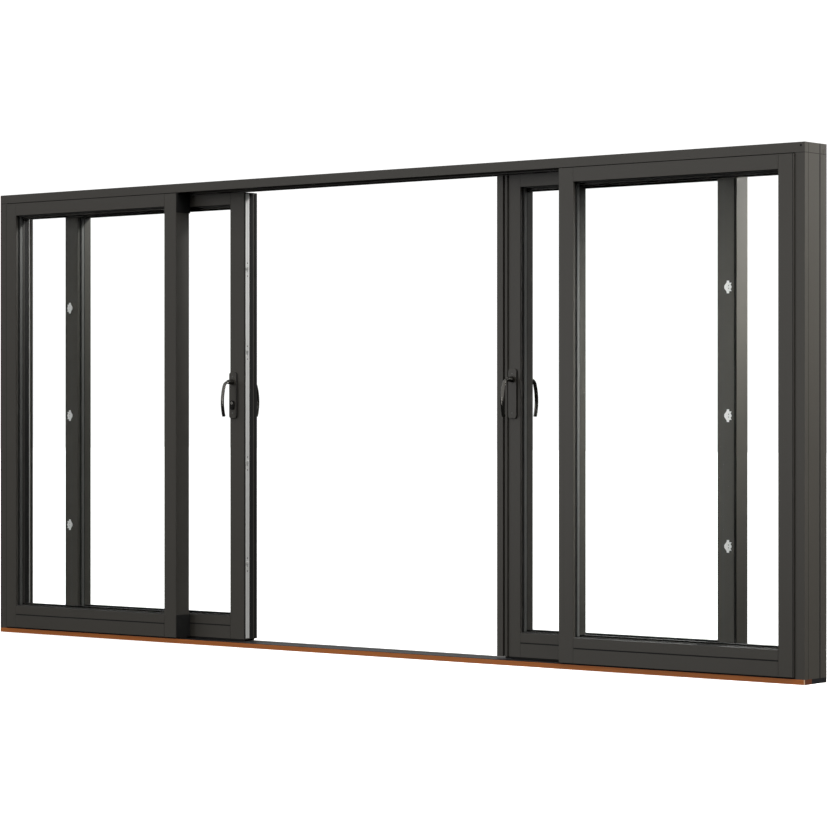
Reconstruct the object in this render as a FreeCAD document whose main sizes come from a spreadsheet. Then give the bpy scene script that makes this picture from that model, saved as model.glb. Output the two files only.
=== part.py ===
import FreeCAD, Part
import os
from types import SimpleNamespace

import Sketcher

# Glass sliding patio door with four panels. Two fixed panels stand in the frame and two
# sliding leaves run behind them on one rail. X runs along the door, Y into the building
# and Z up. The origin is the middle of the sill's underside. In the sizes, "front" is the
# outdoor side.

SIZES = {
    # Frame
    "frame_width": (4480, "outside of one jamb to outside of the other"),
    "frame_height": (2080, "sill underside to top of head"),
    "frame_depth": (158, "front face to back face of the frame"),
    "jamb_face": (44, "width of a jamb's front face"),
    "jamb_lip": (12, "how far the jamb's back lip stands into the opening"),
    "jamb_lip_depth": (8, "thickness of that lip"),
    "jamb_groove_place": (109, "front face to middle of the wide outer groove"),
    "jamb_groove_width": (5, "width of the wide outer groove"),
    "jamb_groove_depth": (6, "depth of the wide outer groove"),
    "jamb_line_place": (26, "front face to the fine outer groove"),
    "jamb_line_width": (2, "width of the fine outer groove"),
    "jamb_line_depth": (1.5, "depth of the fine outer groove"),
    "liner_thickness": (2, "light strip on the inside of a jamb"),
    "liner_start": (87, "front face to the near edge of that strip"),
    "head_face": (39, "height of the head's front face"),
    "head_drop": (4, "how much lower the back half of the head comes"),
    "head_front_depth": (82, "depth of the higher front half of the head"),
    "channel_width": (18, "guide channel in the head"),
    "channel_depth": (21, "height of the head's front and back boards"),
    # Sill
    "sill_height": (20, "underside to top of the sill"),
    "threshold_depth": (50, "wooden front strip of the sill"),
    "nose_setback": (4, "front of the wood to the metal sill's nose"),
    "nose_overlap": (10, "how far the nose plate runs back over the metal sill"),
    "nose_thickness": (1.5, "metal nose over the wood"),
    "rail_width": (6, "running rail"),
    "rail_height": (4, "running rail above the sill"),
    "rail_rounding": (2, "rounded top edges of the running rail"),
    # Profile that fixed panels and leaves share
    "panel_thickness": (86, "front to back of a panel or leaf"),
    "arris": (1.5, "bevel along a stile's front edges"),
    "lip_depth": (15, "front lip ahead of the gasket"),
    "gasket_width": (4, "gap between lip and glass"),
    "gasket_recess": (5, "depth of that gap"),
    "glass_thickness": (25, "sealed glass unit"),
    "glass_cover": (12, "glass edge hidden in the frame"),
    "glass_clearance": (2, "free space round the glass edge"),
    "sight_bottom": (129, "bottom rail's front edge at the glass"),
    "lip_slope": (4, "rise of the bottom rail's lip towards the glass"),
    "bead_rise": (10, "inner bottom bead above the front edge"),
    "bead_drop": (16, "inner top bead below the front edge"),
    "rail_line": (86, "height of the shadow groove in the bottom rail"),
    "line_width": (3, "shadow groove"),
    "line_depth": (4, "shadow groove"),
    # Fixed panels
    "panel_proud": (9, "fixed panel's front ahead of the frame"),
    "panel_side_gap": (2.6, "jamb to fixed panel"),
    "panel_bottom": (27, "underside of a fixed panel"),
    "panel_head_gap": (4, "top of a fixed panel to the head"),
    "top_rail_face": (57, "top of a fixed panel to the glass"),
    "outer_stile": (68.6, "fixed panel's stile beside the jamb"),
    "inner_stile": (73.6, "fixed panel's stile beside the opening"),
    "seat_depth": (50, "strip that seats a fixed panel"),
    "seat_setback": (14, "frame front to that strip"),
    # Sliding leaves
    "leaf_bottom": (29, "underside of a leaf"),
    "leaf_head_gap": (10, "top of a leaf to the head"),
    "leaf_stile": (85, "width of a leaf's stile"),
    "leaf_gap": (8, "fixed panel's back to leaf's front"),
    "step_width": (8, "step along the leaf's outer front corner"),
    "step_depth": (9, "step along the leaf's outer front corner"),
    "meeting_gap": (8, "gap between the two leaves when shut"),
    "left_open": (740, "how far the left leaf stands open"),
    "right_open": (720, "how far the right leaf stands open"),
    # Running gear
    "slot_width": (26, "roller slot under the bottom rail"),
    "slot_depth": (30, "roller slot under the bottom rail"),
    "carriage_play": (1, "slot's side to carriage"),
    "carriage_rise": (2, "leaf's underside to the carriage's lower edge"),
    "carriage_length": (110, "roller carriage"),
    "carriage_inset": (60, "rail's end to carriage"),
    "cheek_thickness": (4, "side plate of the carriage"),
    "roller_radius": (13, "roller"),
    "roller_width": (9, "roller"),
    "axle_radius": (3, "roller axle"),
    "roller_clearance": (0.3, "roller to rail"),
    "shoe_width": (8, "guide shoe on top of a leaf"),
    "shoe_length": (70, "guide shoe"),
    "shoe_height": (22, "guide shoe"),
    "shoe_rounding": (3, "guide shoe's upright corners"),
    "shoe_inset": (120, "leaf's end to guide shoe"),
    # Lock edge
    "faceplate_width": (25, "lock strip"),
    "faceplate_thickness": (3, "lock strip"),
    "faceplate_place": (10, "leaf's front to near edge of the lock strip"),
    "faceplate_end": (4, "leaf's top or bottom to end of the lock strip"),
    "hook_proud": (6, "hook above the lock strip"),
    "hook_width": (8, "hook seen from the front of its strip"),
    "hook_rise": (8, "hook's level to its top"),
    "hook_drop": (7, "hook's level to its tip"),
    "hook_throat": (3.5, "gap behind the hook's tip"),
    "hook_root": (2, "hook's level to the underside of its root"),
    "hook_first": (370, "height of the lowest hook"),
    "hook_second": (823, "height of the second hook"),
    "hook_third": (707, "lock strip's top down to the third hook"),
    "hook_fourth": (335, "lock strip's top down to the highest hook"),
    "pilot_radius": (3, "round hole under a hook"),
    "pilot_drop": (15, "hook's level to that hole"),
    "strike_clearance": (5, "strike slot beyond the hook all round"),
    "cover_reach": (27, "cover strip beyond its own leaf's edge"),
    "cover_clearance": (5.5, "cover strip to the other leaf's front"),
    "cover_thickness": (8, "cover strip"),
    "cover_stem": (4, "web that carries the cover strip"),
    "cover_base": (2.5, "thickness of the cover's base"),
    "cover_channel": (7, "groove between web and rib"),
    "cover_rib": (12, "rib along the cover's base"),
    "cover_rib_height": (8, "rib along the cover's base"),
    "cover_bevel": (2, "bevel of that rib"),
    # Handles
    "left_backset": (63, "left leaf's edge to middle of its handle"),
    "right_backset": (48, "right leaf's edge to middle of its handle"),
    "plate_width": (44, "handle plate"),
    "plate_height": (208, "handle plate"),
    "plate_thickness": (8, "handle plate"),
    "plate_drop": (60, "lever's pivot down to the plate's middle"),
    "plate_rounding": (13, "plate's corner radius"),
    "plate_bevel": (1.5, "bevel round the plate's face"),
    "pivot_height": (1182, "height of the lever's pivot"),
    "collar_radius": (15, "raised collar round the pivot"),
    "collar_height": (3, "raised collar"),
    "lever_clearance": (0.3, "collar to lever"),
    "neck_radius": (13, "lever's neck at the collar"),
    "knuckle_radius": (9.5, "round end of the neck"),
    "neck_straight": (25, "straight part of the neck"),
    "bend_radius": (28, "bend from neck to grip"),
    "shoulder_drop": (19, "pivot's height to the end of the bend"),
    "bow_radius": (220, "outward bow of the grip"),
    "lever_length": (155, "pivot's height to the grip's tip"),
    "grip_width": (18, "grip seen from the front"),
    "grip_thickness": (10, "grip seen from the side"),
    "tip_rounding": (2, "rounded edge at the grip's tip"),
    "spindle_side": (8, "square spindle"),
    "spindle_bore": (12, "hole for the spindle"),
    "cylinder_drop": (104, "lever's pivot down to the key cylinder"),
    "cylinder_width": (24, "oval key cylinder"),
    "cylinder_length": (42, "oval key cylinder"),
    "cylinder_proud": (5, "key cylinder above the plate"),
    "plug_radius": (7.5, "round plug in the key cylinder"),
    "plug_proud": (1, "plug above the oval"),
    # Wedge blocks that draw the leaf tight
    "wedge_width": (34, "wedge block"),
    "wedge_length": (50, "wedge block"),
    "wedge_thickness": (2.5, "wedge block"),
    "wedge_inset": (34, "leaf's outer edge to middle of the block"),
    "wedge_hole": (2.5, "radius of a screw hole in the block"),
    "wedge_hole_place": (5.5, "block's middle up or down to a screw hole"),
    "wedge_low": (517, "height of the lowest block"),
    "wedge_mid": (1031, "height of the middle block"),
    "wedge_high": (1537, "height of the highest block"),
}

LEFT = -1
RIGHT = 1

# Upper half of a wedge block's outline, as shares of its width and length from its middle
WEDGE_OUTLINE = [
    (-0.50, 0.10), (-0.30, 0.26), (-0.18, 0.38), (-0.15, 0.50), (0.12, 0.50),
    (0.15, 0.34), (0.47, 0.32), (0.32, 0.18), (0.47, 0.04),
]


class Length:
    """A length with the formula that gives it, so that every shape follows the sheet."""

    def __init__(self, value, formula):
        self.value = value
        self.formula = formula

    def joined(self, sign, other, value):
        other_formula = other.formula if isinstance(other, Length) else other
        return Length(value, f"({self.formula} {sign} {other_formula})")

    def __add__(self, other):
        return self.joined("+", other, self.value + value_of(other))

    def __sub__(self, other):
        return self.joined("-", other, self.value - value_of(other))

    def __mul__(self, factor):
        return Length(self.value * factor, f"({self.formula} * ({factor}))")

    def __truediv__(self, factor):
        return Length(self.value / factor, f"({self.formula} / {factor})")

    def __neg__(self):
        return self * -1


def value_of(length):
    return length.value if isinstance(length, Length) else length


def formula_of(length):
    return length.formula if isinstance(length, Length) else str(length)


document = FreeCAD.newDocument("PatioDoor")
sheet = document.addObject("Spreadsheet::Sheet", "Sizes")
for row, (alias, (value, note)) in enumerate(SIZES.items(), start=1):
    sheet.set(f"A{row}", alias)
    sheet.set(f"B{row}", str(value))
    sheet.set(f"C{row}", note)
    sheet.setAlias(f"B{row}", alias)
document.recompute()
size = SimpleNamespace(**{alias: Length(value, f"Sizes.{alias}") for alias, (value, _) in SIZES.items()})

# Places that several pieces share
half_width = size.frame_width / 2
jamb_inside = half_width - size.jamb_face
head_underside = size.frame_height - size.head_face
rail_top = size.sill_height + size.rail_height
panel_front = -size.panel_proud
panel_outside = jamb_inside - size.panel_side_gap
panel_top = head_underside - size.panel_head_gap
leaf_top = head_underside - size.leaf_head_gap
sight_top = panel_top - size.top_rail_face
leaf_front = size.panel_thickness - size.panel_proud + size.leaf_gap
leaf_back = leaf_front + size.panel_thickness
track_middle = leaf_front + size.panel_thickness / 2

# All four panes are equally wide, and a shut leaf's outer edge lines up with the glass beside it
glass_run = panel_outside - size.meeting_gap / 2 - size.leaf_stile * 2 - size.outer_stile
leaf_width = glass_run / 2 + size.leaf_stile * 2
half_opening = leaf_width + size.meeting_gap / 2 - size.inner_stile

left_edge = size.meeting_gap / 2 + size.left_open
right_edge = size.meeting_gap / 2 + size.right_open
pocket_depth = size.glass_cover + size.glass_clearance
glass_front = size.lip_depth + size.gasket_width
glass_back = glass_front + size.glass_thickness
lever_start = size.plate_thickness + size.collar_height + size.lever_clearance
strip_bottom = size.leaf_bottom + size.faceplate_end
strip_length = leaf_top - size.leaf_bottom - size.faceplate_end * 2
hook_places = (size.hook_first - strip_bottom, size.hook_second - strip_bottom,
               strip_length - size.hook_third, strip_length - size.hook_fourth)

nodes = []


def bind(thing, path, length):
    thing.setExpression(path, formula_of(length))


def place(thing, x=0, y=0, z=0, turned=False):
    """Stand a thing at a place measured from the frame's front, maybe turned to face indoors."""
    if turned:
        half_turn = FreeCAD.Rotation(FreeCAD.Vector(0, 0, 1), 180)
        thing.Placement = FreeCAD.Placement(FreeCAD.Vector(0, 0, 0), half_turn)
    bind(thing, "Placement.Base.x", x)
    bind(thing, "Placement.Base.y", -size.frame_depth / 2 + y)
    bind(thing, "Placement.Base.z", z)


def new_body(name):
    body = document.addObject("PartDesign::Body", name)
    body.Label = name
    return body


def new_sketch(body, name, role, offset=None):
    """A sketch on one of the body's origin planes, or moved off it along its normal."""
    sketch = body.newObject("Sketcher::SketchObject", name)
    plane = next(plane for plane in body.Origin.OriginFeatures if plane.Role == role)
    sketch.AttachmentSupport = [(plane, "")]
    sketch.MapMode = "FlatFace"
    if offset is not None:
        bind(sketch, "AttachmentOffset.Base.z", offset)
    return sketch


def pin(sketch, geometry, point, across, up):
    """Hold one point at two lengths from the sketch's origin. A plain 0 is on the axis."""
    for kind, length, axis in (("DistanceX", across, -2), ("DistanceY", up, -1)):
        if isinstance(length, Length):
            hold(sketch, kind, length, -1, 1, geometry, point)
        else:
            sketch.addConstraint(Sketcher.Constraint("PointOnObject", geometry, point, axis))


def hold(sketch, kind, length, *where):
    """A sketch dimension that follows its formula."""
    index = sketch.addConstraint(Sketcher.Constraint(kind, *where, length.value))
    bind(sketch, f"Constraints[{index}]", length)


def outline(sketch, corners):
    """A closed outline of straight lines through corners given as pairs of lengths."""
    points = [FreeCAD.Vector(value_of(across), value_of(up), 0) for across, up in corners]
    first = sketch.GeometryCount
    count = len(points)
    for index in range(count):
        sketch.addGeometry(Part.LineSegment(points[index], points[(index + 1) % count]), False)
    for index in range(count):
        following = first + (index + 1) % count
        sketch.addConstraint(Sketcher.Constraint("Coincident", first + index, 2, following, 1))
    for index, (across, up) in enumerate(corners):
        pin(sketch, first + index, 1, across, up)


def circle(sketch, across, up, radius):
    centre = FreeCAD.Vector(value_of(across), value_of(up), 0)
    index = sketch.addGeometry(Part.Circle(centre, FreeCAD.Vector(0, 0, 1), radius.value), False)
    pin(sketch, index, 3, across, up)
    hold(sketch, "Radius", radius, index)


def arc(sketch, centre, radius, start_degrees, end_degrees):
    """An arc of a circle, drawn anticlockwise, that later constraints hold."""
    round_line = Part.Circle(FreeCAD.Vector(*centre, 0), FreeCAD.Vector(0, 0, 1), radius)
    start, end = (FreeCAD.Units.Quantity(f"{angle} deg").getValueAs("rad").Value
                  for angle in (start_degrees, end_degrees))
    return sketch.addGeometry(Part.ArcOfCircle(round_line, start, end), False)


def pad(body, name, sketch, length, backwards=False):
    feature = body.newObject("PartDesign::Pad", name)
    feature.Profile = sketch
    bind(feature, "Length", length)
    feature.Reversed = backwards
    return feature


def pocket(body, name, sketch, length=None, backwards=False):
    """A cut of one length, or right through when no length is given."""
    feature = body.newObject("PartDesign::Pocket", name)
    feature.Profile = sketch
    if length is None:
        feature.Type = "ThroughAll"
        feature.Midplane = True
    else:
        bind(feature, "Length", length)
        feature.Reversed = backwards
    return feature


def direction(edge):
    return edge.tangentAt(edge.FirstParameter)


def chosen_edges(feature, wanted):
    """A built feature with the names of its wanted edges, as a fillet or chamfer takes them."""
    names = [f"Edge{number}" for number, edge in enumerate(feature.Shape.Edges, start=1) if wanted(edge)]
    return (feature, names)


def round_edges(body, name, base, radius, wanted):
    rounding = body.newObject("PartDesign::Fillet", name)
    rounding.Base = chosen_edges(base, wanted)
    bind(rounding, "Radius", radius)
    return rounding


def bar(name, role, corners, length, x, y, z):
    """A straight bar with one cross-section."""
    body = new_body(name)
    sketch = new_sketch(body, name + "_section", role)
    outline(sketch, corners)
    pad(body, name + "_bar", sketch, length)
    place(body, x, y, z)
    return body


def upright(name, corners, x, y, z, height):
    """A vertical bar: corners are across the door and into the building."""
    return bar(name, "XY_Plane", corners, height, x, y, z)


def lying(name, corners, x, y, length):
    """A bar along the door: corners are into the building and up."""
    return bar(name, "YZ_Plane", corners, length, x, y, 0)


def rectangle(left, right, low, high):
    return [(left, low), (right, low), (right, high), (left, high)]


def box(name, length, width, height, x, y, z):
    block = document.addObject("Part::Box", name)
    block.Label = name
    bind(block, "Length", length)
    bind(block, "Width", width)
    bind(block, "Height", height)
    place(block, x, y, z)
    return block


def group(name, pieces):
    """Like pieces of one node, as separate solids."""
    compound = document.addObject("Part::Compound", name)
    compound.Label = name
    compound.Links = pieces
    return compound


def handed(corners, side):
    """Corners drawn for the right-hand side, mirrored across the door for the left."""
    return [(across * side, up) for across, up in corners]


def from_left(near, far, side):
    """Where a piece between two distances from the door's middle has its left end."""
    return near if side == RIGHT else -far


# Frame: wooden threshold, metal sill, running rail, and a head of three boards over the jambs
def make_sill():
    nodes.append(lying("threshold", rectangle(0, size.threshold_depth, 0, size.sill_height),
                       -half_width, 0, size.frame_width))
    nodes.append(lying("sill", rectangle(size.threshold_depth, size.frame_depth, 0, size.sill_height),
                       -half_width, 0, size.frame_width))
    nose_depth = size.threshold_depth + size.nose_overlap - size.nose_setback
    nodes.append(box("sill_nose", jamb_inside * 2, nose_depth, size.nose_thickness,
                     -jamb_inside, size.nose_setback, size.sill_height))
    near = track_middle - size.rail_width / 2
    rail = lying("running_rail", rectangle(near, near + size.rail_width, size.sill_height, rail_top),
                 -jamb_inside, 0, jamb_inside * 2)
    document.recompute()
    top = rail_top.value - size.rail_height.value / 2
    round_edges(rail, "running_rail_top", rail.Tip, size.rail_rounding,
                lambda edge: abs(direction(edge).x) > 0.9 and edge.BoundBox.ZMin > top)
    nodes.append(rail)


def make_head():
    """A top board with a front and a back board under it, which leave the guide channel between them."""
    roof = head_underside + size.channel_depth
    nodes.append(lying("head", rectangle(0, size.frame_depth, roof, size.frame_height),
                       -half_width, 0, size.frame_width))
    low = head_underside - size.head_drop
    near = track_middle - size.channel_width / 2
    far = track_middle + size.channel_width / 2
    for name, front, back, lower_front in (("head_front_board", 0, near, size.head_front_depth),
                                           ("head_back_board", far, size.frame_depth, far)):
        board = lying(name, rectangle(front, back, head_underside, roof), -half_width, 0, size.frame_width)
        lower = new_sketch(board, name + "_lower_section", "YZ_Plane", size.jamb_face + size.jamb_lip)
        outline(lower, rectangle(lower_front, back, low, head_underside))
        pad(board, name + "_lower", lower, (jamb_inside - size.jamb_lip) * 2)
        nodes.append(board)


def make_jamb(name, side):
    """The jamb goes to the nodes, and the light strip on its inner face is given back."""
    face = size.jamb_face
    lip_start = size.frame_depth - size.jamb_lip_depth
    grooves = []
    for middle, width, depth in (
            (size.jamb_groove_place, size.jamb_groove_width, size.jamb_groove_depth),
            (size.jamb_line_place, size.jamb_line_width, size.jamb_line_depth)):
        far, near = middle + width / 2, middle - width / 2
        grooves += [(face, far), (face - depth, far), (face - depth, near), (face, near)]
    corners = [(0, 0), (0, lip_start), (-size.jamb_lip, lip_start), (-size.jamb_lip, size.frame_depth),
               (face, size.frame_depth)] + grooves + [(face, 0)]
    nodes.append(upright(name + "_jamb", handed(corners, side), jamb_inside * side, 0,
                         size.sill_height, head_underside - size.sill_height))
    start = from_left(jamb_inside - size.liner_thickness, jamb_inside, side)
    return box(name + "_liner", size.liner_thickness, lip_start - size.liner_start,
               head_underside - rail_top, start, size.liner_start, rail_top)


# Cross-sections of stiles: across from the glass outwards, and back from the front face
def plain_edge(face):
    return [(face - size.arris, 0), (face, size.arris), (face, size.panel_thickness)]


def stepped_edge(face):
    inner = face - size.step_width
    return [(inner, 0), (inner, size.step_depth), (face, size.step_depth), (face, size.panel_thickness)]


def grooved_edge(face):
    """The edge with a groove down its whole height for the lock or strike strip."""
    floor = face - size.faceplate_thickness
    near = size.faceplate_place
    far = size.faceplate_place + size.faceplate_width
    return [(face - size.arris, 0), (face, size.arris), (face, near), (floor, near),
            (floor, far), (face, far), (face, size.panel_thickness)]


def stile_corners(edge):
    return [(0, size.arris), (size.arris, 0)] + edge + [
        (0, size.panel_thickness), (0, glass_back), (pocket_depth, glass_back), (pocket_depth, glass_front),
        (size.gasket_recess, glass_front), (size.gasket_recess, size.lip_depth), (0, size.lip_depth),
    ]


def top_rail_corners(top):
    sight = sight_top
    return [
        (0, sight), (size.lip_depth, sight), (size.lip_depth, sight + size.gasket_recess),
        (glass_front, sight + size.gasket_recess), (glass_front, sight + pocket_depth),
        (glass_back, sight + pocket_depth), (glass_back, sight - size.bead_drop),
        (size.panel_thickness, sight - size.bead_drop), (size.panel_thickness, top), (0, top),
    ]


def bottom_rail_corners(bottom, slot=()):
    sight = size.sight_bottom
    line_top = size.rail_line + size.line_width
    return [(0, bottom), *slot, (size.panel_thickness, bottom),
            (size.panel_thickness, sight + size.bead_rise), (glass_back, sight + size.bead_rise),
            (glass_back, sight - pocket_depth), (glass_front, sight - pocket_depth),
            (glass_front, sight - size.gasket_recess), (size.lip_depth, sight - size.gasket_recess),
            (size.lip_depth, sight + size.lip_slope), (0, sight), (0, line_top), (size.line_depth, line_top),
            (size.line_depth, size.rail_line), (0, size.rail_line)]


def make_stiles(name, side, edges, faces, outlines, front, bottom, height):
    """Outer and inner stile of a panel whose two edges are at given distances from the middle."""
    outer, inner = edges
    outer_face, inner_face = faces
    outer_edge, inner_edge = outlines
    nodes.append(upright(name + "_outer_stile", handed(stile_corners(outer_edge), side),
                         (outer - outer_face) * side, front, bottom, height))
    stile = upright(name + "_inner_stile", handed(stile_corners(inner_edge), -side),
                    (inner + inner_face) * side, front, bottom, height)
    nodes.append(stile)
    return stile


def make_rails_and_glass(name, side, near, far, front, sections):
    """Rails and glass between two sight lines at given distances from the middle."""
    start = from_left(near, far, side)
    length = far - near
    top_section, bottom_section = sections
    nodes.append(lying(name + "_top_rail", top_section, start, front, length))
    nodes.append(lying(name + "_bottom_rail", bottom_section, start, front, length))
    cover = size.glass_cover
    nodes.append(box(name + "_glass", length + cover * 2, size.glass_thickness,
                     sight_top - size.sight_bottom + cover * 2,
                     start - cover, front + glass_front, size.sight_bottom - cover))


# Fixed panels: seated on a strip on the sill, under a strip below the head, beside the jamb
def make_fixed_panel(name, side):
    """The panel's pieces go to the nodes, and the strips that seat it are given back."""
    near, far = half_opening, panel_outside
    height = panel_top - size.panel_bottom
    make_stiles(name, side, (far, near), (size.outer_stile, size.inner_stile),
                (plain_edge(size.outer_stile), plain_edge(size.inner_stile)),
                panel_front, size.panel_bottom, height)
    make_rails_and_glass(name, side, near + size.inner_stile, far - size.outer_stile, panel_front,
                         (top_rail_corners(panel_top), bottom_rail_corners(size.panel_bottom)))
    start = from_left(near, far, side)
    sill_top = size.sill_height + size.nose_thickness
    under = box(name + "_seat_low", far - near, size.seat_depth, size.panel_bottom - sill_top,
                start, size.seat_setback, sill_top)
    over = box(name + "_seat_high", far - near, size.seat_depth, head_underside - panel_top,
               start, size.seat_setback, panel_top)
    beside = box(name + "_seat_side", size.panel_side_gap, size.seat_depth, height,
                 from_left(far, jamb_inside, side), size.seat_setback, size.panel_bottom)
    return [under, over, beside]


# Running gear of a leaf
def make_roller_carriage(name, start):
    """Two side plates and a top plate that hold a roller on its axle, in the rail's slot."""
    width = size.slot_width - size.carriage_play * 2
    front = track_middle - width / 2
    low = size.leaf_bottom + size.carriage_rise
    top = size.leaf_bottom + size.slot_depth
    near = box(name + "_near_cheek", size.carriage_length, size.cheek_thickness, top - low, start, front, low)
    far = box(name + "_far_cheek", size.carriage_length, size.cheek_thickness, top - low,
              start, front + width - size.cheek_thickness, low)
    cap = box(name + "_cap", size.carriage_length, width, size.cheek_thickness,
              start, front, top - size.cheek_thickness)
    pieces = [near, far, cap]
    axle_height = rail_top + size.roller_clearance + size.roller_radius
    for part_name, radius, wide in (
            ("roller", size.roller_radius, size.roller_width), ("axle", size.axle_radius, width)):
        wheel = document.addObject("Part::Cylinder", f"{name}_{part_name}")
        bind(wheel, "Radius", radius)
        bind(wheel, "Height", wide)
        along_y = FreeCAD.Rotation(FreeCAD.Vector(1, 0, 0), -90)
        wheel.Placement = FreeCAD.Placement(FreeCAD.Vector(0, 0, 0), along_y)
        place(wheel, start + size.carriage_length / 2, track_middle - wide / 2, axle_height)
        pieces.append(wheel)
    carriage = document.addObject("Part::MultiFuse", name)
    carriage.Shapes = pieces
    return carriage


def make_guide_shoe(name, start):
    """A block with rounded ends that runs in the head's channel."""
    body = new_body(name)
    sketch = new_sketch(body, name + "_plan", "XY_Plane")
    half = size.shoe_width / 2
    outline(sketch, rectangle(0, size.shoe_length, -half, half))
    block = pad(body, name + "_block", sketch, size.shoe_height)
    document.recompute()
    round_edges(body, name + "_ends", block, size.shoe_rounding, lambda edge: abs(direction(edge).z) > 0.9)
    place(body, start, track_middle, leaf_top)
    return body


def make_running_gear(name, side, edge):
    """Rollers in the bottom rail and guide shoes on the top rail."""
    far_end = edge + leaf_width
    first = edge + size.leaf_stile + size.carriage_inset
    last = far_end - size.leaf_stile - size.carriage_inset
    places = (from_left(first, first + size.carriage_length, side),
              from_left(last - size.carriage_length, last, side))
    nodes.append(group(name + "_rollers", [make_roller_carriage(f"{name}_carriage_{number}", start)
                                           for number, start in enumerate(places, start=1)]))
    first = edge + size.shoe_inset
    last = far_end - size.shoe_inset
    places = (from_left(first, first + size.shoe_length, side),
              from_left(last - size.shoe_length, last, side))
    nodes.append(group(name + "_guide_shoes", [make_guide_shoe(f"{name}_shoe_{number}", start)
                                               for number, start in enumerate(places, start=1)]))


# Handle plates, levers and key cylinder
def make_plate(name, x, y, turned):
    """A plate with rounded corners, a bevelled face and a raised collar at the pivot."""
    body = new_body(name)
    sketch = new_sketch(body, name + "_outline", "XZ_Plane")
    wide, tall = size.plate_width / 2, size.plate_height / 2
    outline(sketch, rectangle(-wide, wide, -tall, tall))
    base = pad(body, name + "_base", sketch, size.plate_thickness)
    document.recompute()
    rounded = round_edges(body, name + "_corners", base, size.plate_rounding,
                          lambda edge: abs(direction(edge).y) > 0.9)
    document.recompute()
    bevel = body.newObject("PartDesign::Chamfer", name + "_bevel")
    near_face = size.plate_bevel.value / 2 - size.plate_thickness.value
    bevel.Base = chosen_edges(rounded, lambda edge: edge.BoundBox.YMax < near_face)
    bind(bevel, "Size", size.plate_bevel)
    pivot = size.plate_drop
    ring = new_sketch(body, name + "_collar_ring", "XZ_Plane")
    circle(ring, 0, pivot, size.collar_radius)
    pad(body, name + "_collar", ring, size.plate_thickness + size.collar_height)
    hole = new_sketch(body, name + "_spindle_ring", "XZ_Plane")
    circle(hole, 0, pivot, size.spindle_bore / 2)
    pocket(body, name + "_spindle_hole", hole)
    place(body, x, y, size.pivot_height - size.plate_drop, turned)
    return body


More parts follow.
